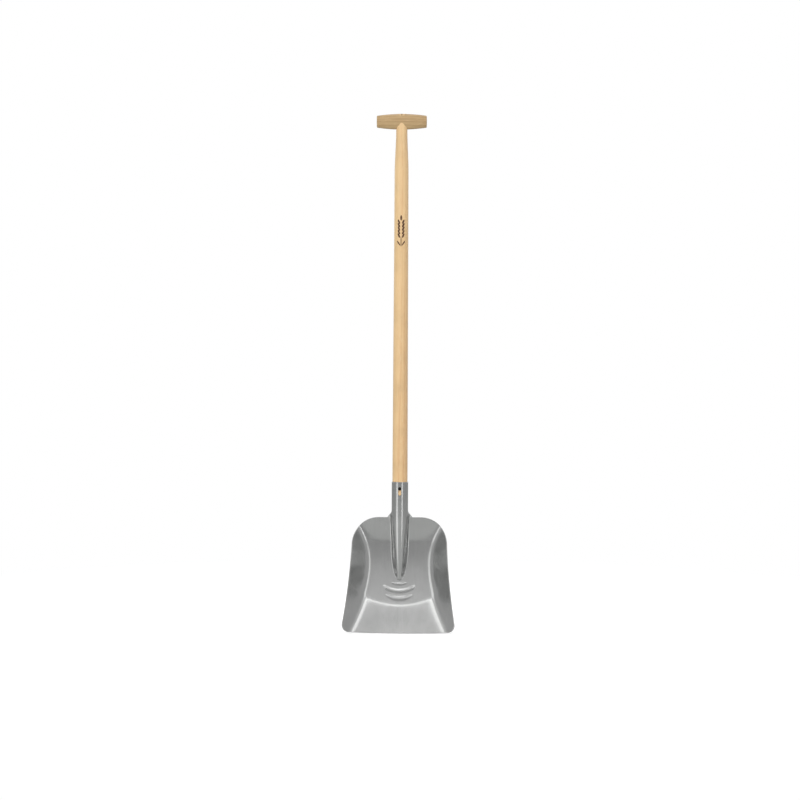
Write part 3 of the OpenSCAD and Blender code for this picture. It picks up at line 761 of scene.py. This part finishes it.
class SCOOP_OT_grip(bpy.types.Operator):
    """T-grip: a barrel of oval section along X, with rounded end edges and slightly crowned, closed ends."""
    bl_idname = "scoop.grip"
    bl_label = "T-Grip"

    def execute(self, context):
        h = context.scene.handle_sizes
        half, flat, crown = h.grip_length / 2, h.grip_length / 2 - GRIP_ROUND, 0.0004
        turn = np.linspace(0, np.pi / 2, 9)[1:]
        right = np.concatenate([np.linspace(0, flat, 60), flat + GRIP_ROUND * np.sin(turn)])
        x = np.concatenate([-right[:0:-1], right])
        tall, deep = grip_section(h, x)
        shrink = np.linspace(1, 0, 7)[1:-1]
        x = np.concatenate([-half - crown * (1 - shrink[::-1]), x, half + crown * (1 - shrink)])
        tall = np.concatenate([tall[0] * shrink[::-1], tall, tall[-1] * shrink])
        deep = np.concatenate([deep[0] * shrink[::-1], deep, deep[-1] * shrink])
        a = angles(128)
        ripple = 1 + 0.0022 * np.sin(3 * a + 0.7)[None, :] * np.cos(x / half * 2.1)[:, None]
        rings = np.stack(np.broadcast_arrays(x[:, None], AXIS_Y + deep[:, None] * np.cos(a) * ripple,
                                             GRIP_Z + tall[:, None] * np.sin(a) * ripple), -1)
        grip = make_object("t_grip_barrel", *capped(rings, [x[0], AXIS_Y, GRIP_Z], [x[-1], AXIS_Y, GRIP_Z]),
                           sharp=50)
        colours = context.scene.scoop_finishes
        wood = wood_material("turned_grip_wood", tuple(colours.grip_light), tuple(colours.grip_dark),
                             "X", 150.0, 0.15, (0.0, 0.013, 0.02))
        finish_piece(grip, wood, "t_grip")
        return {"FINISHED"}


class SCOOP_OT_shaft(bpy.types.Operator):
    """Shaft: turned about Z, straight with a slight taper, drawn in to a neck, and coped to the grip. The
    neck's top edge follows the underside of the grip's oval, z = -tall * sqrt(1 - (y / deep)^2). Its lower
    end tapers inside the frog to a round tip."""
    bl_idname = "scoop.shaft"
    bl_label = "Wooden Shaft"

    def execute(self, context):
        scene = context.scene
        h = scene.handle_sizes
        shape = ScoopShape(scene.scoop_sizes, h.shaft_diameter / MM)
        r_mouth, r_top, r_neck = h.shaft_diameter / 2, h.top_diameter / 2, h.neck_diameter / 2
        a = angles(160)
        foot_start, tip_r = 187, 0.007
        foot_z = np.linspace(foot_start, shape.frog_top, 26)
        c = -shape.crest_y(foot_z) - shape.crest_r(foot_z)
        _, _, flank, _ = shape.section(foot_z)
        room = np.minimum(-shape.crest_y(foot_z), shape.crest_r(foot_z) + c * np.cos(flank))
        foot_r = np.minimum(r_mouth, (room - shape.sheet / 2 - 0.4) * MM)
        tip = np.linspace(0, np.pi / 2, 8)[1:-1]
        neck_top = GRIP_Z - h.grip_tall / 2
        neck_low, mouth = neck_top - h.neck_length, shape.socket_top * MM
        t = np.linspace(0, 1, 46)[1:]
        neck_r = mix(r_top, r_neck, ease(0, 1, t))
        neck_z = mix(neck_low, neck_top - 0.0005, t)
        body_z = np.linspace(mouth + 0.02, neck_low, 60)
        body_r = np.interp(body_z, [mouth + TAPER_ABOVE, neck_low], [r_mouth, r_top])
        low = SHAFT_LOW.z
        z = np.concatenate([low + tip_r * (1 - np.cos(tip)), foot_z * MM, body_z, neck_z])
        r = np.concatenate([foot_r[0] - tip_r + tip_r * np.sin(tip), foot_r, body_r, neck_r])
        rings_z = np.repeat(z[:, None], len(a), 1)
        rings_r = np.repeat(r[:, None], len(a), 1)
        # coped top: rings shrink inside the grip along its underside
        for share in (1.0, 0.97, 0.9, 0.7, 0.4):
            y = r_neck * share * np.sin(a)
            tall, deep = grip_section(h, r_neck * share * np.cos(a))
            saddle = GRIP_Z - tall * np.sqrt(np.clip(1 - (y / deep) ** 2, 0, 1)) + 0.0003
            rings_z = np.vstack([rings_z, saddle])
            rings_r = np.vstack([rings_r, np.full(len(a), r_neck * share)])
        rings = np.stack([rings_r * np.cos(a), rings_r * np.sin(a) + AXIS_Y, rings_z], -1)
        shaft = make_object("turned_shaft", *capped(rings, [0, AXIS_Y, low], [0, AXIS_Y, neck_top]), sharp=60)
        colours = scene.scoop_finishes
        light, dark = tuple(colours.shaft_light), tuple(colours.shaft_dark)
        finish_piece(shaft, wood_material("turned_shaft_wood", light, dark, "Z", 95.0, 0.35), "handle_shaft")
        # the tenon's end shows in the grip's top, as a disc bent to the grip that stands a little proud
        proud = 0.00015
        rr = np.concatenate([np.linspace(0, 0.97, 12)[1:], [0.99, 1.0, 1.0]]) * h.tenon_diameter / 2
        lift = np.concatenate([np.full(11, proud), [0.0001, 0.0, -0.002]])
        x, y = rr[:, None] * np.cos(a[::2]), rr[:, None] * np.sin(a[::2])
        tall, deep = grip_section(h, x)
        rings = np.stack([x, y + AXIS_Y, GRIP_Z + tall * np.sqrt(1 - (y / deep) ** 2) + lift[:, None]], -1)
        poles = [0, AXIS_Y, GRIP_Z + h.grip_tall / 2 + proud], [0, AXIS_Y, GRIP_Z + 0.01]
        tenon = make_object("tenon_end", *capped(rings, *poles, flip=True), sharp=40)
        finish_piece(tenon, end_grain_material("tenon_end_grain", tuple(0.8 * v for v in light),
                                               tuple(0.7 * v for v in dark)), "handle_shaft")
        return {"FINISHED"}


class SCOOP_OT_wedge(bpy.types.Operator):
    """Wedge: a thin strip across the tenon, bent over the grip's top; a grid in x and y whose height is the
    grip's own, standing 0.3 mm proud, and whose edges go down into the tenon."""
    bl_idname = "scoop.wedge"
    bl_label = "Tenon Wedge"

    def execute(self, context):
        h = context.scene.handle_sizes
        half_t, reach, proud, side = 0.0015, h.tenon_diameter / 2 * 0.96, 0.0003, 0.004
        rim = np.array([-1, -1, -0.8, -0.4, 0, 0.4, 0.8, 1, 1.0])
        drop_x = np.array([side, proud, 0, 0, 0, 0, 0, proud, side])
        ys = np.concatenate([[-1.0], np.linspace(-1, 1, 31), [1.0]])
        drop_y = np.concatenate([[side], np.zeros(31), [side]])
        x = np.repeat(rim[None, :] * half_t, len(ys), 0)
        y = np.repeat(ys[:, None] * reach, len(rim), 1)
        tall, deep = grip_section(h, x)
        drop = np.maximum(drop_x[None, :], drop_y[:, None])
        z = GRIP_Z + tall * np.sqrt(1 - (y / deep) ** 2) + proud - drop
        points = np.stack([x, y + AXIS_Y, z], -1).reshape(-1, 3)
        rows, cols = x.shape
        border = np.concatenate([np.arange(cols), np.arange(2, rows) * cols - 1,
                                 rows * cols - 1 - np.arange(cols), np.arange(rows - 2, 0, -1) * cols])
        faces = grid_quads(rows, cols).tolist() + [border[::-1].tolist()]
        wedge = make_object("wedge_strip", points, faces, sharp=40)
        weld(wedge.data)
        finish_piece(wedge, end_grain_material("wedge_end_grain", (0.36, 0.23, 0.11), (0.22, 0.12, 0.05)),
                     "tenon_wedge")
        return {"FINISHED"}


def place_turned(name, profile, origin, axis, around=48, dent=None):
    """A turned fastener set along an axis. `dent` may lower its points by a function of x and y."""
    points, faces = turned(profile, around)
    if dent is not None:
        points[:, 2] -= dent(points[:, 0], points[:, 1], points[:, 2])
    turn = np.array(Vector((0, 0, 1)).rotation_difference(Vector(axis)).to_matrix())
    points = points @ turn.T + np.array(origin)
    return make_object(name, points, faces, sharp=38)


class SCOOP_OT_fasteners(bpy.types.Operator):
    """Fasteners, all turned: a socket screw with a domed head and a cross recess, whose depth falls off
    across its two arms, a nail in the back of the grip and two nails through the socket's back flaps."""
    bl_idname = "scoop.fasteners"
    bl_label = "Screw and Nails"

    def execute(self, context):
        scene = context.scene
        h = scene.handle_sizes
        shape = ScoopShape(scene.scoop_sizes, h.shaft_diameter / MM)
        outer = (shape.mid_r + shape.sheet / 2) * MM
        a = np.linspace(0, np.pi / 2, 12)
        head_r, head_h = 0.0043, 0.003
        dome = [(head_r * (0.55 + 0.45 * math.cos(t)), head_h * (0.4 + 0.6 * math.sin(t))) for t in a]
        cap = [(head_r * 0.55 * s, head_h + 0.00012 * (1 - s * s)) for s in np.linspace(1, 0.02, 16)[1:]]
        shank = [(0, -0.024), (0.0004, -0.0238), (0.0018, -0.019), (0.0021, -0.0185), (0.0021, 0)]
        profile = shank + [(head_r, 0)] + dome + cap + [(0, head_h + 0.00012)]

        def cross(x, y, z):
            arm = np.minimum(np.abs(x), np.abs(y)) / 0.00055
            far = np.maximum(np.abs(x), np.abs(y)) / 0.0022
            return 0.0013 * (1 - ease(0.7, 1.2, arm)) * (1 - ease(0.85, 1.05, far)) * (z > 0.002)
        seat = math.sqrt(outer ** 2 - SLOT_R ** 2)
        black = fastener_material("black_oxide", (0.055, 0.05, 0.045), 0.42)
        nail = fastener_material("wire_nail", (0.42, 0.41, 0.39), 0.38)
        screw = place_turned("socket_screw_piece", profile,
                             (0, AXIS_Y - seat, shape.socket_top * MM - SLOT_DOWN - SLOT_R), (0, -1, 0), 96,
                             cross)
        finish_piece(screw, black, "socket_screw")

        def nail_profile(length):
            head = [(0.0031, 0.0), (0.0031, 0.0006), (0.00302, 0.00085), (0.0027, 0.00112), (0.0018, 0.0012),
                    (0.0008, 0.00123)]
            return ([(0, -length), (0.0005, -length + 0.0006), (0.0014, -length + 0.0034), (0.0014, 0.0)]
                    + head + [(0, 0.00124)])
        back = place_turned("grip_nail_piece", nail_profile(0.020), (0, AXIS_Y + h.grip_deep / 2, GRIP_Z),
                            (0, 1, 0))
        finish_piece(back, nail, "grip_nail")
        angle = math.radians(147)
        for side, name in ((-1, "flap_nail_left"), (1, "flap_nail_right")):
            out = (side * math.sin(angle), -math.cos(angle), 0)
            seat = out[0] * outer, AXIS_Y + out[1] * outer, shape.socket_top * MM - 0.030
            piece = place_turned(name, nail_profile(0.014), seat, out)
            finish_piece(piece, nail, "flap_nails")
        return {"FINISHED"}


class SCOOP_OT_burned_mark(bpy.types.Operator):
    """Burned mark: a plain ear of grain, generic, on the front of the shaft. Each kernel is a shallow lens,
    a polar grid stretched along its own axis, and is wrapped round the shaft."""
    bl_idname = "scoop.burned_mark"
    bl_label = "Burned Mark"

    def execute(self, context):
        h = context.scene.handle_sizes
        low, high = 0.962, 1.042
        kernels = [(side * 0.0056, z, side * 26, 0.0068, 0.0027)
                   for z in np.linspace(low + 0.029, high - 0.016, 5) for side in (-1, 1)]
        kernels += [(0, high - 0.0065, 0, 0.0075, 0.0028), (0, low + 0.014, 0, 0.014, 0.0012)]
        kernels += [(side * 0.0062, low + 0.010, side * 36, 0.0090, 0.0019) for side in (-1, 1)]
        share, a = np.linspace(0, 1, 6)[1:, None], angles(24)
        proud, sunk = 0.00012, 0.0006
        sizes = context.scene.scoop_sizes
        taper = [sizes.blade_height + sizes.socket_height + TAPER_ABOVE,
                 GRIP_Z - h.grip_tall / 2 - h.neck_length]
        points, faces = [], []
        for x, z, turn, long, wide in kernels:
            t = math.radians(turn)
            u, v = wide * share * np.cos(a), long * share * np.sin(a)
            px = np.append((x + u * math.cos(t) + v * math.sin(t)).ravel(), [x, x])
            pz = np.append((z - u * math.sin(t) + v * math.cos(t)).ravel(), [z, z])
            rise = np.append(np.repeat(proud * (1 - share ** 2) - 0.00002, len(a), 1).ravel(), [proud, -sunk])
            radius = np.interp(pz, taper, [h.shaft_diameter / 2, h.top_diameter / 2]) + rise
            lens = np.stack([radius * np.sin(px / radius), AXIS_Y - radius * np.cos(px / radius), pz], -1)
            more, closed = capped(lens[:-2].reshape(len(share), len(a), 3), lens[-2], lens[-1], flip=True,
                                  start=len(points) * len(lens))
            points.append(more)
            faces += closed
        mark = make_object("burned_ear_mark", np.concatenate(points), faces)
        material = scorched_material(tuple(context.scene.scoop_finishes.burn))
        finish_piece(mark, material, None)
        return {"FINISHED"}


class SCOOP_OT_stage(bpy.types.Operator):
    """Stage: a wide pale floor, a pale surround that is dimmer low down and at the sides, soft boxes and the
    camera. To the camera the floor fades into the white of the surround; reflections see it darker."""
    bl_idname = "scoop.stage"
    bl_label = "Studio Stage"

    def execute(self, context):
        scene = context.scene
        s, light = scene.scoop_stage, scene.scoop_stage.light
        radius, a = np.array([1.5, 4, 9, 20, 60])[:, None], angles(96)
        below = -0.0002
        rings = np.stack(np.broadcast_arrays(radius * np.cos(a), radius * np.sin(a), below), -1)
        floor = make_object("floor", *capped(rings, [0, 0, below], flip=True))
        material, tree, shader, where = new_material("pale_floor")
        camera_ray = add(tree, "ShaderNodeLightPath").outputs["Is Camera Ray"]
        tint, black = tuple(scene.scoop_finishes.stage), (0.0, 0.0, 0.0)
        pale = blend_colour(tree, noise(tree, where, 3.0, 3.0), tint, tuple(min(1, c * 1.02) for c in tint))
        away = add(tree, "ShaderNodeVectorMath", None, {0: where}, operation="LENGTH").outputs["Value"]
        far = spread(tree, away, 0.6, 1.8)
        seen = blend_colour(tree, far, pale, black)
        glow = blend_colour(tree, far, (0.33, 0.33, 0.33), (1.0, 1.0, 1.0))
        for key, to_rays, to_camera in (("Base Color", (0.52, 0.525, 0.52), seen),
                                        ("Emission Color", black, glow)):
            tree.links.new(blend_colour(tree, camera_ray, to_rays, to_camera), shader.inputs[key])
        for key, value in (("Emission Strength", 1.0), ("Roughness", 0.9), ("Specular IOR Level", 0.0)):
            shader.inputs[key].default_value = value
        floor.data.materials.append(material)

        world = scene.world or bpy.data.worlds.new("studio")
        scene.world = world
        world.use_nodes = True
        tree = world.node_tree
        tree.nodes.clear()
        way = add(tree, "ShaderNodeTexCoord").outputs["Generated"]
        xyz = add(tree, "ShaderNodeSeparateXYZ", None, {0: way})
        low_level, high_level, side_level = 0.41, 0.69, 0.48
        front = add(tree, "ShaderNodeMapRange", {1: 0.2, 2: 0.68, 3: low_level, 4: high_level},
                    {0: xyz.outputs[2]}, interpolation_type="SMOOTHSTEP").outputs[0]
        side = add(tree, "ShaderNodeMapRange", {1: 0.45, 2: 0.85},
                   {0: maths(tree, "ABSOLUTE", xyz.outputs[0])}, interpolation_type="SMOOTHSTEP").outputs[0]
        dim = maths(tree, "MULTIPLY_ADD", maths(tree, "SUBTRACT", side_level, front), side, front)
        zenith = spread(tree, xyz.outputs[2], 0.95, 0.985, 0.0, 1.1)
        level = maths(tree, "MULTIPLY", maths(tree, "ADD", dim, zenith), light)
        camera_ray = add(tree, "ShaderNodeLightPath").outputs["Is Camera Ray"]
        strength = maths(tree, "MULTIPLY_ADD", camera_ray, maths(tree, "SUBTRACT", 1.0, level), level)
        background = add(tree, "ShaderNodeBackground", {"Color": (1, 1, 1, 1)}, {"Strength": strength})
        add(tree, "ShaderNodeOutputWorld", None, {"Surface": background.outputs[0]})

        def soft_box(name, azimuth, elevation, distance, wide, tall, radiance, target):
            """An area light that faces the target, with a given brightness of its face."""
            az, el = math.radians(azimuth), math.radians(elevation)
            towards = Vector((math.sin(az) * math.cos(el), -math.cos(az) * math.cos(el), math.sin(el)))
            data = bpy.data.lights.new(name, "AREA")
            data.shape, data.size, data.size_y = "RECTANGLE", wide, tall
            data.energy = radiance * light * math.pi * wide * tall
            obj = bpy.data.objects.new(name, data)
            scene.collection.objects.link(obj)
            obj.location = Vector(target) + towards * distance
            obj.rotation_mode = "QUATERNION"
            obj.rotation_quaternion = towards.to_track_quat("Z", "Y")
            obj.visible_camera = False
            return obj

        low, high, near, centre = (0, AXIS_Y, 0.21), (0, 0, 0.05), 0.8, (0, 0, 0.2)
        for name, *values in (
                ("left_low_box", -38, 0, near, 0.30, 0.40, 0.78, low),
                ("right_low_strip", 33, 0, near, 0.09, 0.34, 1.9, (0, AXIS_Y, 0.25)),
                ("left_box", -42, 30, 2.2, 0.80, 0.9, 0.66, centre),
                ("right_box", 42, 30, 2.2, 0.60, 0.9, 0.66, centre),
                ("top_strip", 0, 56, 2.2, 1.8, 0.13, 1.8, (0, 0, 0.07)),
                ("left_top_box", -50, 59, 2.2, 1.0, 0.4, 0.92, high),
                ("right_top_box", 50, 59, 2.2, 1.0, 0.4, 0.85, high),
                ("diffuse_fill", -12, 12, 3.0, 2.4, 2.2, 1.9, (0, 0, 0.9)),
                ("back_left_box", 142, 22, 2.2, 0.55, 1.3, 1.5, centre),
                ("back_right_box", 214, 30, 2.2, 0.9, 0.8, 1.1, centre),
                ("back_fill", 172, 25, 3.0, 2.4, 2.2, 1.1, (0, 0, 0.8))):
            soft_box(name, *values).visible_glossy = not name.endswith("fill")

        data = bpy.data.cameras.new("camera")
        camera = bpy.data.objects.new("camera", data)
        scene.collection.objects.link(camera)
        data.sensor_width = 36
        data.lens = data.sensor_width * s.distance / s.view_width
        az = math.radians(s.azimuth)
        back = Vector((math.sin(az), -math.cos(az), 0))
        camera.location = Vector((0, AXIS_Y, s.aim_height)) + back * s.distance
        camera.rotation_mode = "QUATERNION"
        turn = back.to_track_quat("Z", "Y").to_matrix() @ Matrix.Rotation(math.radians(s.roll), 3, "Z")
        camera.rotation_quaternion = turn.to_quaternion()
        data.shift_x = -0.0005
        data.clip_end = 200
        data.dof.use_dof = False
        scene.camera = camera
        scene.view_settings.view_transform = "Standard"
        scene.view_settings.look = "None"
        return {"FINISHED"}


STEPS = (SCOOP_OT_stage, SCOOP_OT_head, SCOOP_OT_grip, SCOOP_OT_shaft, SCOOP_OT_wedge, SCOOP_OT_fasteners,
         SCOOP_OT_burned_mark)


class SCOOP_PT_panel(bpy.types.Panel):
    """Lists the sizes, the colours and the pieces"""
    bl_idname = "SCOOP_PT_panel"
    bl_label = "Grain Scoop Shovel"
    bl_space_type = "VIEW_3D"
    bl_region_type = "UI"
    bl_category = "Scoop Shovel"

    def draw(self, context):
        for key, group in GROUPS.items():
            box = self.layout.box()
            box.label(text=group.__doc__)
            for name in group.__annotations__:
                box.prop(getattr(context.scene, key), name)
        for step in STEPS:
            self.layout.operator(step.bl_idname)


CLASSES = (*GROUPS.values(), *STEPS, SCOOP_PT_panel)


def register():
    for cls in CLASSES:
        bpy.utils.register_class(cls)
    for key, group in GROUPS.items():
        setattr(bpy.types.Scene, key, PointerProperty(type=group))


def unregister():
    for key in GROUPS:
        delattr(bpy.types.Scene, key)
    for cls in reversed(CLASSES):
        bpy.utils.unregister_class(cls)


def main():
    register()
    for step in STEPS:
        area, _, name = step.bl_idname.partition(".")
        getattr(getattr(bpy.ops, area), name)()


if __name__ == "__main__":
    main()
